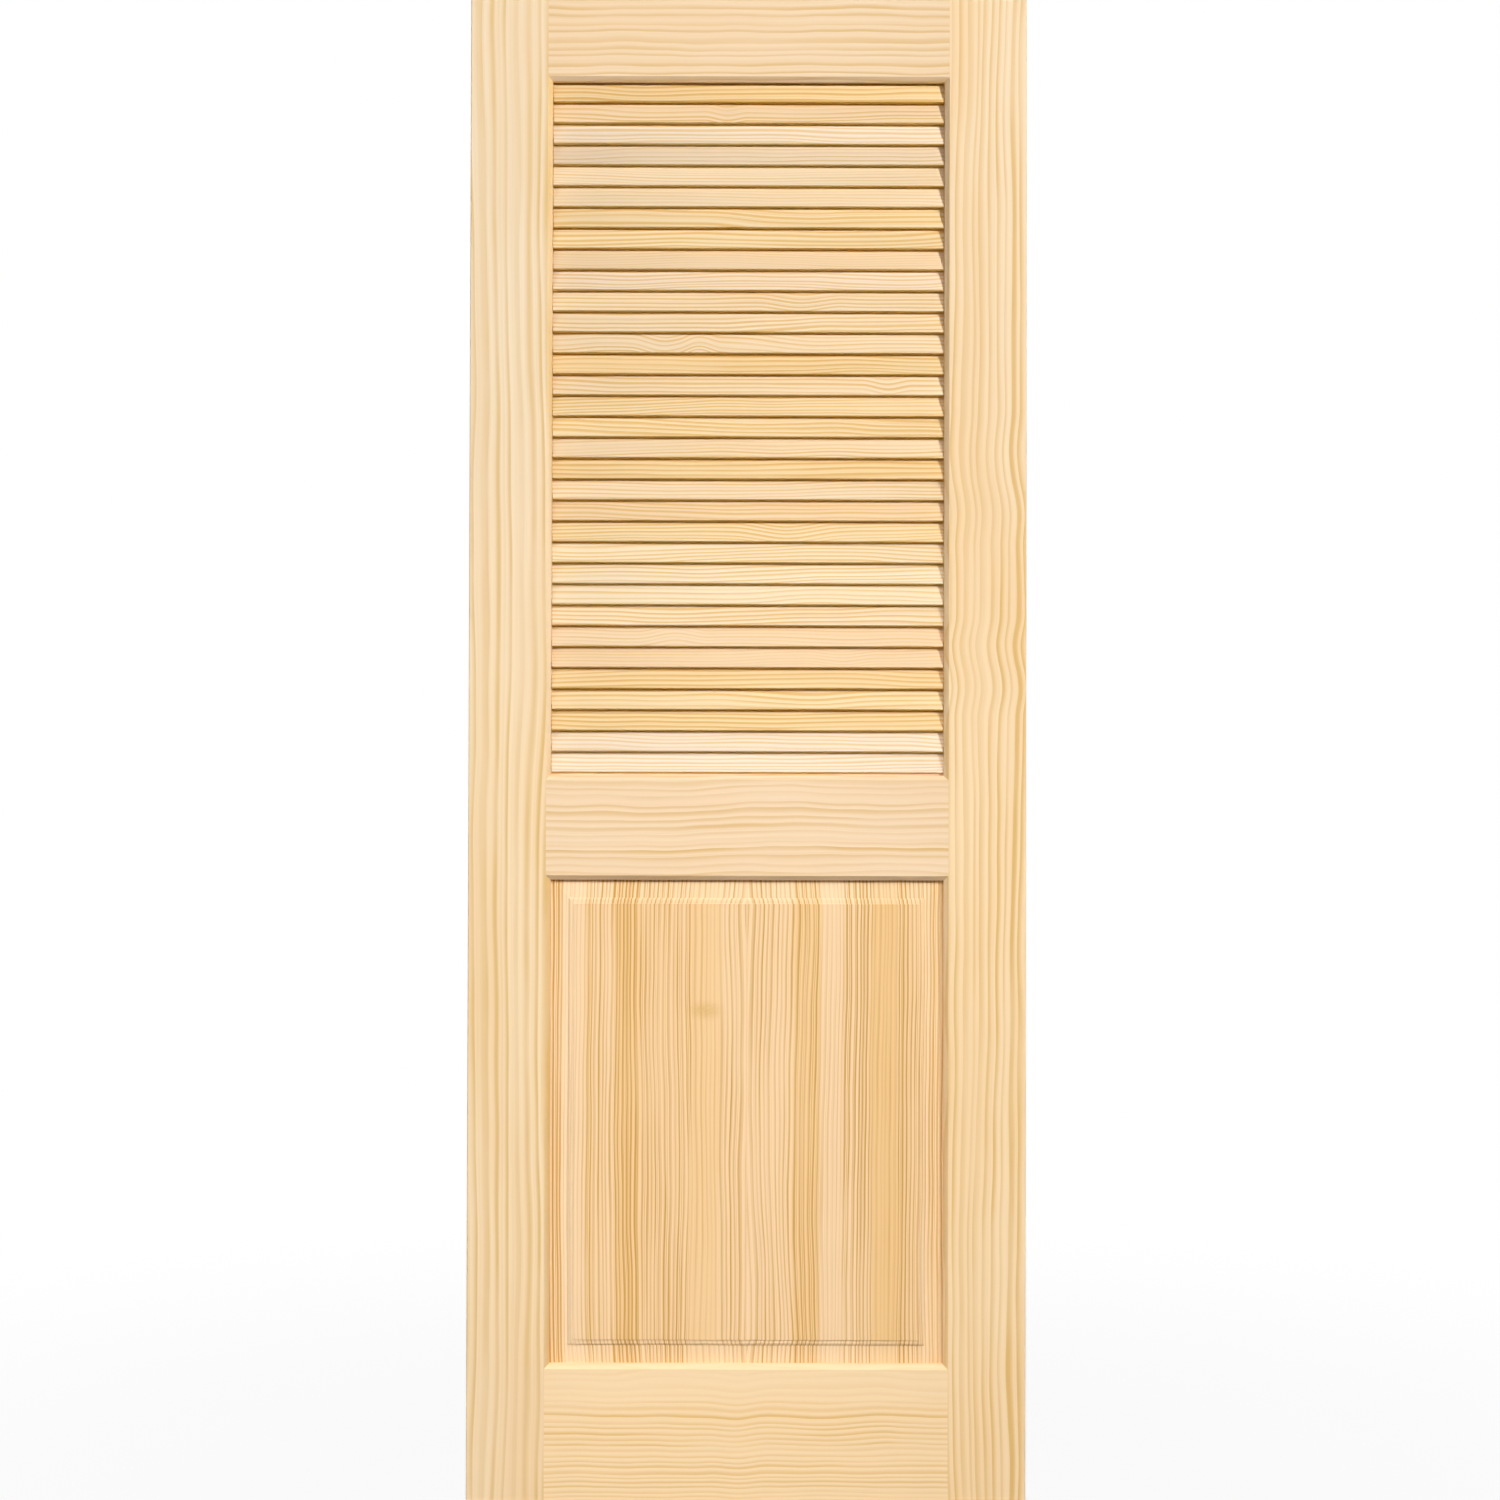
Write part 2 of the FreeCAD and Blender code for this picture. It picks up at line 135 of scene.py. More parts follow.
# Tones of planed pine: early wood, a second early tint, and the late wood of the lines.
TONES = {
    "cream": (linear(242, 220, 187), linear(241, 216, 180), linear(230, 191, 131)),
    "pale": (linear(243, 225, 196), linear(243, 221, 188), linear(232, 197, 136)),
    "milk": (linear(243, 227, 208), linear(243, 224, 202), linear(235, 203, 154)),
    "blush": (linear(244, 224, 200), linear(243, 218, 192), linear(232, 197, 146)),
    "straw": (linear(243, 219, 177), linear(241, 214, 171), linear(230, 190, 123)),
    "honey": (linear(241, 213, 164), linear(239, 208, 159), linear(225, 181, 111)),
    "tan": (linear(241, 214, 178), linear(239, 208, 169), linear(228, 188, 126)),
    "grey": (linear(235, 213, 185), linear(230, 206, 178), linear(218, 187, 138)),
    "left_head": (linear(250, 229, 198), linear(247, 222, 187), linear(231, 192, 124)),
    "left_foot": (linear(248, 222, 183), linear(245, 215, 172), linear(226, 184, 110)),
    "right_head": (linear(253, 228, 192), linear(250, 220, 178), linear(234, 190, 120)),
    "right_foot": (linear(252, 224, 181), linear(249, 216, 168), linear(230, 185, 108)),
    "rail": (linear(247, 220, 185), linear(245, 215, 177), linear(230, 190, 129)),
    "foot_rail": (linear(252, 224, 181), linear(251, 219, 171), linear(236, 195, 128)),
    "panel": (linear(252, 221, 180), linear(243, 201, 138), linear(214, 162, 84)),
}

# Figure of a slat: ring width, share of the late-wood tone, and sway of the fibres.
FIGURES = {
    "plain": (0.0042, 1.0, 0.02),
    "soft": (0.0052, 2.0, 0.025),
    "lined": (0.0056, 2.4, 0.03),
    "bold": (0.0068, 2.8, 0.03),
}

# Tone, figure and slant in degrees of each slat, from the lowest up.
SLAT_LOOKS = (
    ("milk", "soft", 0.4), ("milk", "soft", -1.2), ("honey", "soft", 0.3), ("straw", "lined", -0.5),
    ("honey", "soft", -0.6), ("tan", "plain", 0.5), ("tan", "plain", -0.9), ("cream", "lined", 0.3),
    ("pale", "plain", -0.2), ("pale", "soft", 0.2), ("pale", "soft", 1.4), ("straw", "soft", 0.5),
    ("tan", "soft", -0.4), ("cream", "soft", 0.6), ("honey", "soft", -0.3), ("cream", "soft", 1.1),
    ("straw", "bold", -1.3), ("straw", "lined", 1.2), ("cream", "soft", -0.3), ("honey", "soft", -0.3),
    ("cream", "lined", -0.6), ("cream", "lined", 0.3), ("cream", "soft", 0.9), ("blush", "lined", -0.4),
    ("tan", "plain", 0.2), ("straw", "lined", 0.5), ("straw", "bold", -0.9), ("cream", "plain", -0.2),
    ("cream", "plain", 0.3), ("grey", "soft", 1.0), ("milk", "lined", -0.5), ("tan", "soft", -0.4),
    ("honey", "soft", 0.2),
)

# Waves in single slats: slat number from the foot, then place along it, half length and shift.
SLAT_WAVES = {
    21: ((-0.115, 0.045, 0.009), (-0.065, 0.03, -0.006)),
    19: ((0.19, 0.035, 0.006),),
    23: ((0.07, 0.06, 0.008),),
    12: ((0.05, 0.07, 0.006),),
    7: ((-0.1, 0.05, -0.007),),
    6: ((0.13, 0.05, 0.005),),
    32: ((-0.03, 0.03, 0.005),),
}

# What is drawn at random for a slat: pith across and in depth, turn of the fibres out of
# the face in degrees, share of the figure's ring width, and place along the log.
SLAT_SEED = 41
SLAT_PITH_ACROSS = (0.09, 0.16)
SLAT_PITH_DEPTH = (0.04, 0.09)
SLAT_RUNOUT = (-1.0, 1.0)
SLAT_RING_SHARE = (0.85, 1.15)
SLAT_PLACES = (0.0, 90.0)

# Painted shade: a slat's colour is made warmer and deeper on its lower edge, where the
# upright part of the normal is below a limit, and on its front where the next slat shades
# it, from one distance behind the leaf's face to another. It stands in for the warm light that bounces
# between the slats.
PAINTED_SHADE_FROM = 0.0168
PAINTED_SHADE_TO = 0.0182
PAINTED_SHADE_TINT = (0.98, 0.9, 0.45)
LOOKS_DOWN = -0.6

# Heights on a stile, from its middle, between which the tone of its foot gives way.
FOOT_TONE_FROM = -0.3
FOOT_TONE_TO = 0.95

# Bands across a board: where each starts, from 0 to 1, its share of the second tint, and
# the strength of its lines.
PANEL_BANDS = (
    (0.0, 0.5, 1.3), (0.05, 0.15, 0.4), (0.107, 0.75, 0.6), (0.12, 0.25, 0.55), (0.172, 0.7, 1.15),
    (0.238, 0.4, 0.75), (0.298, 0.35, 1.0), (0.36, 0.6, 0.3), (0.436, 0.25, 0.5), (0.615, 0.65, 0.85),
    (0.682, 0.15, 0.4), (0.738, 0.25, 0.95), (0.81, 0.85, 0.35), (0.874, 0.4, 0.95), (0.957, 0.75, 0.7),
)
FOOT_RAIL_BANDS = ((0.0, 0.3, 0.9), (0.42, 0.5, 1.3), (0.74, 0.25, 0.35))
BAND_EDGE = 0.004

# The panel's two halves: half the width over which they change, and how far from the
# middle along the log each is cut.
PANEL_JOIN = 0.001
PANEL_HALF_PLACE = 5.0

# A knot just under the panel's face, and a paler tone on the panel's margin than on the
# field.
PANEL_SMUDGE = Vector((0.321, 0.0, 0.66))
SMUDGE_SIZE = (0.026, 0.014)
SMUDGE_FADE = (0.2, 1.2)
SMUDGE_GRAIN = 300.0
SMUDGE_SHARE = 0.9
SMUDGE_TONE = linear(222, 176, 106)
MARGIN_TONE = linear(252, 229, 194)
MARGIN_SHARE = 0.4
MARGIN_EDGE = 0.0004


class Tree:
    """Short ways to add nodes to one node tree."""

    def __init__(self, tree):
        self.tree = tree

    def add(self, kind, inputs=None, **settings):
        """One node, with its settings, and values or links for its sockets."""
        node = self.tree.nodes.new(kind)
        for name, value in settings.items():
            setattr(node, name, value)
        for socket, value in (inputs or {}).items():
            if isinstance(value, bpy.types.NodeSocket):
                self.tree.links.new(value, node.inputs[socket])
            else:
                node.inputs[socket].default_value = value
        return node

    def math(self, operation, first, second=0.0, third=0.0):
        """A number worked out from up to three others."""
        inputs = {0: first, 1: second, 2: third}
        return self.add("ShaderNodeMath", inputs, operation=operation).outputs[0]

    def vector(self, operation, first, second=(0.0, 0.0, 0.0)):
        """A vector worked out from two others, or its length."""
        node = self.add("ShaderNodeVectorMath", {0: first, 1: second}, operation=operation)
        return node.outputs["Value" if operation == "LENGTH" else "Vector"]

    def scaled(self, vector, scale):
        """A vector times a number."""
        node = self.add("ShaderNodeVectorMath", {0: vector, "Scale": scale}, operation="SCALE")
        return node.outputs[0]

    def combine(self, across=0.0, depth=0.0, along=0.0):
        """A vector from three numbers."""
        return self.add("ShaderNodeCombineXYZ", {0: across, 1: depth, 2: along}).outputs[0]

    def split(self, vector):
        """The three numbers of a vector."""
        return self.add("ShaderNodeSeparateXYZ", {0: vector}).outputs

    def smooth(self, value, low, high, start=0.0, end=1.0):
        """A soft step from start to end as the value goes from low to high."""
        inputs = {"Value": value, "From Min": low, "From Max": high, "To Min": start, "To Max": end}
        node = self.add("ShaderNodeMapRange", inputs, interpolation_type="SMOOTHSTEP")
        return node.outputs["Result"]

    def mix(self, share, first, second):
        """Two colours mixed."""
        node = self.add("ShaderNodeMix", {0: share, 6: first, 7: second}, data_type="RGBA")
        return node.outputs[2]

    def noise(self, vector, scale, detail=2.0, roughness=0.5):
        """Soft noise in space."""
        inputs = {"Vector": vector, "Scale": scale, "Detail": detail, "Roughness": roughness}
        return self.add("ShaderNodeTexNoise", inputs, noise_dimensions="3D").outputs

    def line_noise(self, value, scale):
        """Soft noise along a number."""
        inputs = {"W": value, "Scale": scale, "Detail": 1.0}
        return self.add("ShaderNodeTexNoise", inputs, noise_dimensions="1D").outputs[0]

    def chance(self, value):
        """A number from 0 to 1 that jumps with the value."""
        node = self.add("ShaderNodeTexWhiteNoise", {"W": value}, noise_dimensions="1D")
        return node.outputs["Value"]

    def sway(self, vector, scale, amount):
        """A soft shift to all sides, at most half the amount."""
        waves = self.noise(vector, scale, roughness=SWAY_ROUGHNESS)["Color"]
        return self.scaled(self.vector("SUBTRACT", waves, NOISE_MIDDLE), amount)

    def late_line(self, rings, start):
        """Late wood of each ring: it darkens slowly from start, then ends at once."""
        season = self.math("FRACT", rings)
        rise = self.smooth(season, start, LATE_PEAK)
        fall = self.smooth(season, LATE_END, 1.0, 1.0, 0.0)
        return self.math("MULTIPLY", rise, fall)


def add_sockets(group, in_out, names, kind):
    """Sockets of one kind on a node group."""
    for name in names:
        group.interface.new_socket(name, in_out=in_out, socket_type=kind)


def make_pine_group():
    """Node group that turns a place in a log into the look of planed pine there."""
    group = bpy.data.node_groups.new("pine_wood", "ShaderNodeTree")
    add_sockets(group, "INPUT", ["Place"], "NodeSocketVector")
    numbers = ["Ring", "Wander", "Ripple", "Stretch", "Sharp", "Fine", "Contrast", "Seed"]
    add_sockets(group, "INPUT", numbers, "NodeSocketFloat")
    add_sockets(group, "INPUT", ["Early", "Second", "Late"], "NodeSocketColor")
    add_sockets(group, "OUTPUT", ["Color"], "NodeSocketColor")
    add_sockets(group, "OUTPUT", ["Roughness", "Height"], "NodeSocketFloat")
    tree = Tree(group)
    given = tree.add("NodeGroupInput").outputs
    seed = given["Seed"]
    place = tree.vector("ADD", given["Place"], tree.combine(along=seed))

    # The fibres stray slowly along the stem, with a small ripple on top.
    slow = tree.vector("MULTIPLY", place, tree.combine(1.0, 1.0, given["Stretch"]))
    bent = tree.vector("ADD", given["Place"], tree.sway(slow, WANDER_SCALE, given["Wander"]))
    bent = tree.vector("ADD", bent, tree.sway(slow, RIPPLE_SCALE, given["Ripple"]))

    # Growth rings round the pith, of uneven width and strength, with finer ones between.
    radius = tree.vector("LENGTH", tree.vector("MULTIPLY", bent, (1.0, 1.0, 0.0)))
    own_radius = tree.math("ADD", radius, seed)
    drift = tree.line_noise(own_radius, RING_DRIFT_SCALE)
    rings = tree.math("MULTIPLY_ADD", drift, RING_DRIFT, tree.math("DIVIDE", radius, given["Ring"]))
    vigour = tree.chance(tree.math("ADD", tree.math("FLOOR", rings), seed))
    ring_strength = tree.math("MULTIPLY_ADD", vigour, 1.0 - RING_WEAKEST, RING_WEAKEST)
    group_noise = tree.line_noise(own_radius, RING_GROUP_SCALE)
    group_strength = tree.smooth(group_noise, *RING_GROUP_RANGE, *RING_GROUP_STRENGTH)
    strength = tree.math("MULTIPLY", ring_strength, group_strength)
    bold = tree.math("MULTIPLY", tree.late_line(rings, given["Sharp"]), strength)
    fine_rings = tree.math("MULTIPLY", rings, FINE_RINGS)
    fine_vigour = tree.chance(tree.math("ADD", tree.math("FLOOR", fine_rings), seed))
    fine_line = tree.math("MULTIPLY", tree.late_line(fine_rings, given["Sharp"]), fine_vigour)
    lines = tree.math("MAXIMUM", bold, tree.math("MULTIPLY", fine_line, given["Fine"]))
    drawn_out = tree.vector("MULTIPLY", place, (1.0, 1.0, FADE_STRETCH))
    fade = tree.smooth(tree.noise(drawn_out, FADE_SCALE)[0], *FADE_RANGE, FADE_LOW, 1.0)
    late = tree.math("MULTIPLY", lines, fade)

    # Fine fibres, and broad clouds of tint that follow the grain.
    thin = tree.vector("MULTIPLY", place, (1.0, 1.0, FIBRE_STRETCH))
    fibre = tree.noise(thin, FIBRE_SCALE, FIBRE_DETAIL, FIBRE_ROUGHNESS)[0]
    broad = tree.vector("MULTIPLY", place, (1.0, 1.0, CLOUD_STRETCH))
    cloud = tree.noise(broad, CLOUD_SCALE)[0]

    early = tree.mix(tree.smooth(cloud, *CLOUD_RANGE), given["Early"], given["Second"])
    figured = tree.mix(tree.math("MULTIPLY", late, given["Contrast"]), early, given["Late"])
    streak = tree.math("MULTIPLY_ADD", fibre, FIBRE_SHADE, 1.0 - FIBRE_SHADE / 2)
    smoother = LATE_ROUGHNESS - WOOD_ROUGHNESS
    tree.add("NodeGroupOutput", {
        "Color": tree.scaled(figured, streak),
        "Roughness": tree.math("MULTIPLY_ADD", late, smoother, WOOD_ROUGHNESS),
        "Height": tree.math("MULTIPLY_ADD", late, LATE_RELIEF, fibre),
    })
    return group


PINE = make_pine_group()


class Board:
    """How one piece is cut from its log.

    along and across are unit vectors of the leaf's frame. pith is where the middle of the
    log lies, across and in depth from the board's centre. slant turns the fibres in the
    plane of the face, and runout turns them out of it, both in degrees. ring is the
    width of a growth ring, wander and ripple how far the fibres stray in long and short
    waves, and stretch how slowly they do so along the board. sharp is where in a ring the
    late wood starts, fine the strength of the lines between rings, contrast the share of
    the late-wood tone, and seed the place along the log. Each of waves is a place along the
    board, a half length and a shift.
    """

    def __init__(self, along, across, centre, pith, slant=0.0, runout=0.0, ring=0.006, wander=0.02,
                 ripple=0.001, stretch=0.3, sharp=0.2, fine=0.3, contrast=1.0, seed=0.0, waves=()):
        self.along = Vector(along)
        self.across = Vector(across)
        self.centre = Vector(centre)
        self.pith = Vector((pith[0], pith[1], 0.0))
        self.slant = math.radians(slant)
        self.runout = math.radians(runout)
        self.ring = ring
        self.wander = wander
        self.ripple = ripple
        self.stretch = stretch
        self.sharp = sharp
        self.fine = fine
        self.contrast = contrast
        self.seed = seed
        self.waves = waves

    def place(self, tree):
        """Node socket with the place in the board, its centre at zero."""
        depth = self.along.cross(self.across)
        upright = Matrix((self.across, depth, self.along))
        turn = Matrix.Rotation(self.slant, 3, "Y") @ Matrix.Rotation(self.runout, 3, "X") @ upright
        coordinates = tree.add("ShaderNodeTexCoord").outputs["Object"]
        place = tree.add("ShaderNodeMapping", {
            "Vector": coordinates,
            "Location": turn @ -self.centre,
            "Rotation": turn.to_euler("XYZ"),
        }).outputs[0]
        for height, half_length, shift in self.waves:
            distance = tree.math("ABSOLUTE", tree.math("SUBTRACT", tree.split(place)[2], height))
            amount = tree.smooth(distance, 0.0, half_length, shift, 0.0)
            place = tree.vector("ADD", place, tree.combine(across=amount))
        return place


def new_material(name):
    """An empty node material."""
    material = bpy.data.materials.new(name)
    material.use_nodes = True
    material.node_tree.nodes.clear()
    return material


def band_values(tree, board, place, width, bands):
    """Second-tint share and line strength of the band at a place in the board."""
    # The bands stray with the fibres, so their borders are not ruled lines.
    slow = tree.vector("MULTIPLY", place, (1.0, 1.0, board.stretch))
    stray = tree.sway(slow, WANDER_SCALE, board.wander)
    across = tree.split(tree.vector("ADD", place, stray))[0]
    chart = tree.add("ShaderNodeValToRGB", {0: tree.math("MULTIPLY_ADD", across, 1.0 / width, 0.5)})
    stops = chart.color_ramp.elements
    while len(stops) < 2 * len(bands):
        stops.new(1.0)
    ends = [band[0] for band in bands[1:]] + [1.0]
    for number, ((start, tint, strength), end) in enumerate(zip(bands, ends)):
        first, last = stops[2 * number], stops[2 * number + 1]
        for stop, position in ((first, start + BAND_EDGE), (last, end - BAND_EDGE)):
            stop.position = position
            stop.color = (tint, strength, 0.0, 1.0)
    values = tree.add("ShaderNodeSeparateColor", {0: chart.outputs[0]}).outputs
    return values[0], values[1]


def pine_color(tree, board, place, tone, contrast):
    """Pine group for a place in the log; gives its outputs."""
    early, second, late = tone
    inputs = {"Place": place, "Early": early, "Second": second, "Late": late, "Contrast": contrast}
    for name in ("Ring", "Wander", "Ripple", "Stretch", "Sharp", "Fine", "Seed"):
        inputs[name] = getattr(board, name.lower())
    return tree.add("ShaderNodeGroup", inputs, node_tree=PINE).outputs


def finish_wood(tree, wood, color):
    """Shader of planed wood."""
    inputs = {"Height": wood["Height"], "Distance": BUMP_DEPTH, "Strength": BUMP_STRENGTH}
    shader = tree.add("ShaderNodeBsdfPrincipled", {
        "Base Color": color,
        "Roughness": wood["Roughness"],
        "Normal": tree.add("ShaderNodeBump", inputs).outputs[0],
        "Specular IOR Level": WOOD_SPECULAR,
    })
    tree.add("ShaderNodeOutputMaterial", {"Surface": shader.outputs[0]})


def painted_shade_color(tree, color):
    """A slat's colour with painted shade: warmer on the lower edge and where the slat above shades the
    front.
    """
    coordinates = tree.add("ShaderNodeTexCoord").outputs
    behind = tree.split(coordinates["Object"])[1]
    looks = tree.split(coordinates["Normal"])
    on_front = tree.math("LESS_THAN", looks[1], 0.0)
    on_edge = tree.math("LESS_THAN", looks[2], LOOKS_DOWN)
    painted_shade_strip = tree.smooth(behind, FRONT_FACE + PAINTED_SHADE_FROM, FRONT_FACE + PAINTED_SHADE_TO)
    # Painted shade: share of the warm, deeper tint on the lower edge and on the shaded strip.
    share = tree.math("MAXIMUM", tree.math("MULTIPLY", painted_shade_strip, on_front), on_edge)
    return tree.mix(share, color, tree.vector("MULTIPLY", color, PAINTED_SHADE_TINT))


def put_on(node_name, material):
    """Material and softened edges on a piece of the frame."""
    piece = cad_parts[node_name]
    piece.material_slots[0].material = material
    weld = piece.modifiers.new("weld", "WELD")
    weld.merge_threshold = WELD_DISTANCE
    bevel = piece.modifiers.new("arris", "BEVEL")
    bevel.width = ARRIS_WIDTH
    bevel.segments = ARRIS_SEGMENTS
    bevel.limit_method = "ANGLE"
    bevel.angle_limit = ARRIS_ANGLE


def dress(node_name, board, tone, bands=None, foot_tone=None, recolor=None):
    """Give a piece the look of its board.

    The board may have bands, a tone of its own at the foot, and a function that has the
    last word on its colour.
    """
    material = new_material(f"pine_{node_name}")
    tree = Tree(material.node_tree)
    place = board.place(tree)
    early, second, late = TONES[tone]
    contrast = board.contrast
    if foot_tone:
        share = tree.smooth(tree.split(place)[2], FOOT_TONE_FROM, FOOT_TONE_TO, 1.0, 0.0)
        pairs = zip(TONES[tone], TONES[foot_tone])
        early, second, late = (tree.mix(share, head, foot) for head, foot in pairs)
    if bands:
        low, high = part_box(node_name)
        width = abs(board.across.dot(high - low))
        tint, strength = band_values(tree, board, place, width, bands)
        early = second = tree.mix(tint, early, second)
        contrast = tree.math("MULTIPLY", strength, board.contrast)
    in_log = tree.vector("SUBTRACT", place, board.pith)
    wood = pine_color(tree, board, in_log, (early, second, late), contrast)
    color = recolor(tree, wood["Color"]) if recolor else wood["Color"]
    finish_wood(tree, wood, color)
    put_on(node_name, material)


def centre_of(node_name):
    """Middle of a piece's box."""
    low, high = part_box(node_name)
    return (low + high) / 2


def dress_stiles():
    """Tall boards: wide calm lines on the hinge side, closer and livelier ones on the lock side."""
    left = Board(UP, RIGHT, centre_of("left_stile"), (-0.36, 0.15), slant=0.15, ring=0.0135,
                 wander=0.03, stretch=0.22, fine=0.25, contrast=1.05, seed=3.0)
    dress("left_stile", left, "left_head", foot_tone="left_foot")
    bends = ((0.4, 0.06, 0.0035), (0.32, 0.05, -0.004), (0.14, 0.04, 0.0045), (0.08, 0.04, -0.004))
    right = Board(UP, RIGHT, centre_of("right_stile"), (0.3, 0.14), slant=-0.1, ring=0.0095,
                  wander=0.03, stretch=0.25, fine=0.25, contrast=1.05, seed=11.0, waves=bends)
    dress("right_stile", right, "right_head", foot_tone="right_foot")


def dress_rails():
    """Level boards, with gently wavy lines from end to end."""
    top = Board(RIGHT, UP, centre_of("top_rail"), (0.3, 0.12), slant=-0.2, ring=0.0105,
                wander=0.014, stretch=0.7, fine=0.3, contrast=1.2, seed=21.0)
    dress("top_rail", top, "rail")
    lock = Board(RIGHT, UP, centre_of("lock_rail"), (-0.3, 0.12), slant=-0.3, ring=0.0098,
                 wander=0.02, stretch=0.6, fine=0.3, contrast=1.15, seed=33.0)
    dress("lock_rail", lock, "rail")
    bump = ((-0.01, 0.04, 0.003),)
    bottom = Board(RIGHT, UP, centre_of("bottom_rail"), (0.12, 0.09), slant=-0.2, ring=0.0066,
                   wander=0.014, stretch=0.7, fine=0.3, seed=47.0, waves=bump)
    dress("bottom_rail", bottom, "foot_rail", FOOT_RAIL_BANDS)


def dress_slats():
    """One small board for each slat, no two alike."""
    draw = random.Random(SLAT_SEED)
    for number, (name, (tone, figure, slant)) in enumerate(zip(SLATS, SLAT_LOOKS), start=1):
        low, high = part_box(name)
        slope = math.atan2(high.z - low.z, high.y - low.y)
        across = (0.0, math.cos(slope), math.sin(slope))
        ring, contrast, wander = FIGURES[figure]
        side = draw.choice((-1, 1))
        pith = (side * draw.uniform(*SLAT_PITH_ACROSS), draw.uniform(*SLAT_PITH_DEPTH))
        board = Board(RIGHT, across, (low + high) / 2, pith, slant=-slant,
                      runout=draw.uniform(*SLAT_RUNOUT), ring=ring * draw.uniform(*SLAT_RING_SHARE),
                      wander=wander, stretch=0.35, sharp=0.3, contrast=contrast,
                      seed=draw.uniform(*SLAT_PLACES), waves=SLAT_WAVES.get(number, ()))
        # Painted shade on each slat's lower edge and shaded strip has the last word on its colour.
        dress(name, board, tone, recolor=painted_shade_color)


def dress_panel():
    """Panel of joined staves: tint and strength of the lines change from band to band."""
    name = "raised_panel"
    low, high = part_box(name)
    board = Board(UP, RIGHT, (low + high) / 2, (0.14, -0.15), ring=0.0052, wander=0.02,
                  ripple=0.0025, stretch=0.25, sharp=0.4, fine=0.6, contrast=2.1, seed=61.0)
    early, honey, late = TONES["panel"]
    material = new_material(f"pine_{name}")
    tree = Tree(material.node_tree)
    place = board.place(tree)
    across, depth, along = tree.split(place)
    tint, strength = band_values(tree, board, place, high.x - low.x, PANEL_BANDS)

    # Staves of the two halves have their pith on opposite sides.
    side = tree.smooth(across, -PANEL_JOIN, PANEL_JOIN, -1.0, 1.0)
    pith_across = tree.math("MULTIPLY", side, -board.pith.x)
    pith_along = tree.math("MULTIPLY", side, PANEL_HALF_PLACE)
    in_log = tree.vector("SUBTRACT", place, tree.combine(pith_across, board.pith.y, pith_along))

    # The cut margin lies a little below the field, on the front and on the back.
    below = tree.math("SUBTRACT", high.y, tree.math("ABSOLUTE", depth))
    margin = tree.smooth(below, MARGIN_EDGE, 2 * MARGIN_EDGE, 0.0, MARGIN_SHARE)
    ground = tree.mix(margin, tree.mix(tint, early, honey), MARGIN_TONE)
    contrast = tree.math("MULTIPLY", strength, board.contrast)
    wood = pine_color(tree, board, in_log, (ground, ground, late), contrast)

    # A faint smudge where a knot lies just under the surface.
    middle = PANEL_SMUDGE - board.centre
    off_across = tree.math("DIVIDE", tree.math("SUBTRACT", across, middle.x), SMUDGE_SIZE[0])
    off_along = tree.math("DIVIDE", tree.math("SUBTRACT", along, middle.z), SMUDGE_SIZE[1])
    distance = tree.vector("LENGTH", tree.combine(off_across, off_along))
    grain = tree.noise(place, SMUDGE_GRAIN)[0]
    spot = tree.math("MULTIPLY", tree.smooth(distance, *SMUDGE_FADE, SMUDGE_SHARE, 0.0), grain)
    finish_wood(tree, wood, tree.mix(spot, wood["Color"], SMUDGE_TONE))
    put_on(name, material)


def background_share(tree):
    """1 for rays that show the background, straight or mirrored, 0 for those that light the leaf."""
    rays = tree.add("ShaderNodeLightPath").outputs
    mirrored = tree.math("MAXIMUM", rays["Is Glossy Ray"], rays["Is Transmission Ray"])
    return tree.math("MAXIMUM", rays["Is Camera Ray"], mirrored)


def make_world():
    """White to look at, and a soft even light on the leaf."""
    world = bpy.data.worlds.new("studio")
    world.use_nodes = True
    world.node_tree.nodes.clear()
    tree = Tree(world.node_tree)
    white = (1.0, 1.0, 1.0, 1.0)
    soft = tree.add("ShaderNodeBackground", {"Color": white, "Strength": AMBIENT_LEVEL}).outputs[0]
    shown = tree.add("ShaderNodeBackground", {"Color": white, "Strength": 1.0}).outputs[0]
    both = tree.add("ShaderNodeMixShader", {0: background_share(tree), 1: soft, 2: shown})
    tree.add("ShaderNodeOutputWorld", {"Surface": both.outputs[0]})
    bpy.context.scene.world = world


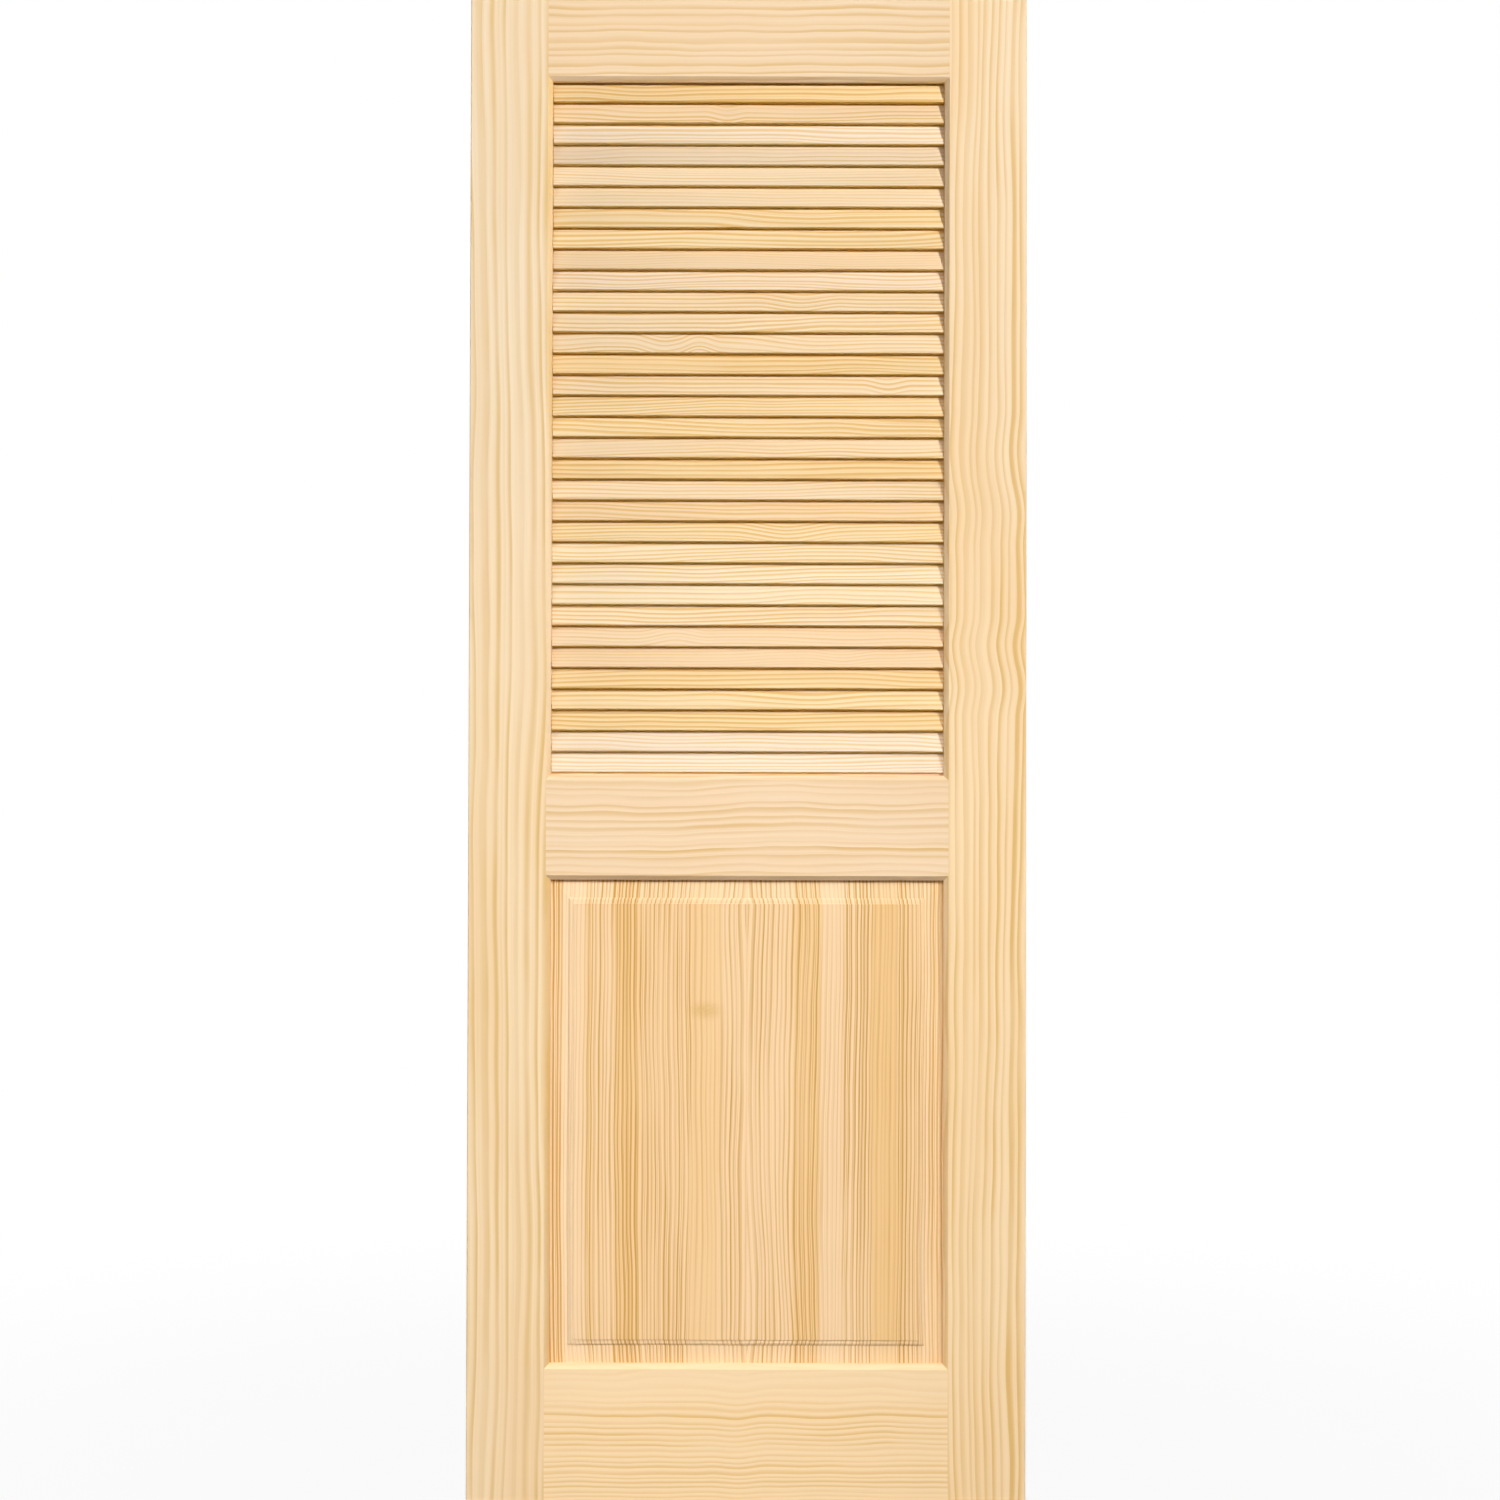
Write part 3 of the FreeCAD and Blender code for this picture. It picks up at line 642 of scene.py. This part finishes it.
def make_floor():
    """Pale floor that keeps a faint shadow and fades into the background."""
    mesh = bpy.data.meshes.new("floor")
    signs = ((-1, -1), (1, -1), (1, 1), (-1, 1))
    corners = [(side * FLOOR_HALF, end * FLOOR_HALF, 0.0) for side, end in signs]
    mesh.from_pydata(corners, [], [(0, 1, 2, 3)])
    floor = bpy.data.objects.new("floor", mesh)
    floor.location = (LEAF_MIDDLE.x, 0.0, cad_low.z - FLOOR_DROP)
    bpy.context.scene.collection.objects.link(floor)
    material = new_material("pale_floor")
    tree = Tree(material.node_tree)
    matt = tree.add("ShaderNodeBsdfDiffuse", {"Color": linear(*FLOOR_TONE)}).outputs[0]
    shown = tree.add("ShaderNodeEmission", {"Strength": 1.0}).outputs[0]
    distance = tree.vector("LENGTH", tree.add("ShaderNodeTexCoord").outputs["Object"])
    white_share = tree.smooth(distance, FLOOR_FADE_START, FLOOR_FADE_END, FLOOR_WHITE_NEAR, 1.0)
    share = tree.math("MULTIPLY", background_share(tree), white_share)
    both = tree.add("ShaderNodeMixShader", {0: share, 1: matt, 2: shown}).outputs[0]
    tree.add("ShaderNodeOutputMaterial", {"Surface": both})
    mesh.materials.append(material)


def add_lamp(name, place, aim, size, beam, level):
    """Square studio lamp that gives a white face at the leaf's middle that level."""
    axis = Vector(aim) - Vector(place)
    to_middle = LEAF_MIDDLE - Vector(place)

    # The lamp dims from the axis of its beam to the rim.
    half_beam = math.radians(beam / 2)
    turned = to_middle.angle(axis)
    beam_share = (math.tan(half_beam) - math.tan(turned)) / (math.tan(half_beam) - half_beam)
    facing = abs(to_middle.normalized().y) * math.cos(turned)
    lamp = bpy.data.lights.new(name, "AREA")
    lamp.shape = "SQUARE"
    lamp.size = size
    lamp.spread = math.radians(beam)
    lamp.energy = level * math.pi ** 2 * to_middle.length_squared / (facing * beam_share)
    lamp_object = bpy.data.objects.new(name, lamp)
    lamp_object.location = place
    lamp_object.rotation_euler = axis.to_track_quat("-Z", "Y").to_euler()
    bpy.context.scene.collection.objects.link(lamp_object)


def make_camera():
    """Camera whose picture the leaf fills from foot to head."""
    up_angle = math.atan2(cad_high.z - CAMERA_HEIGHT, CAMERA_DISTANCE)
    down_angle = math.atan2(CAMERA_HEIGHT - cad_low.z, CAMERA_DISTANCE)
    pitch = (up_angle - down_angle) / 2
    half_view = (up_angle + down_angle) / 2 * CAMERA_CROP
    camera = bpy.data.cameras.new("camera")
    camera.sensor_width = SENSOR_WIDTH
    camera.lens = SENSOR_WIDTH / 2 / math.tan(half_view)
    camera.shift_x = CAMERA_SIDE_SHIFT
    camera_object = bpy.data.objects.new("camera", camera)
    camera_object.location = (LEAF_MIDDLE.x, FRONT_FACE - CAMERA_DISTANCE, CAMERA_HEIGHT)
    camera_object.rotation_euler = (math.pi / 2 + pitch, CAMERA_ROLL, 0.0)
    bpy.context.scene.collection.objects.link(camera_object)
    bpy.context.scene.camera = camera_object


dress_stiles()
dress_rails()
dress_panel()
dress_slats()
make_world()
make_floor()
for lamp_settings in LAMPS:
    add_lamp(*lamp_settings)
make_camera()
bpy.context.scene.view_settings.view_transform = "Standard"
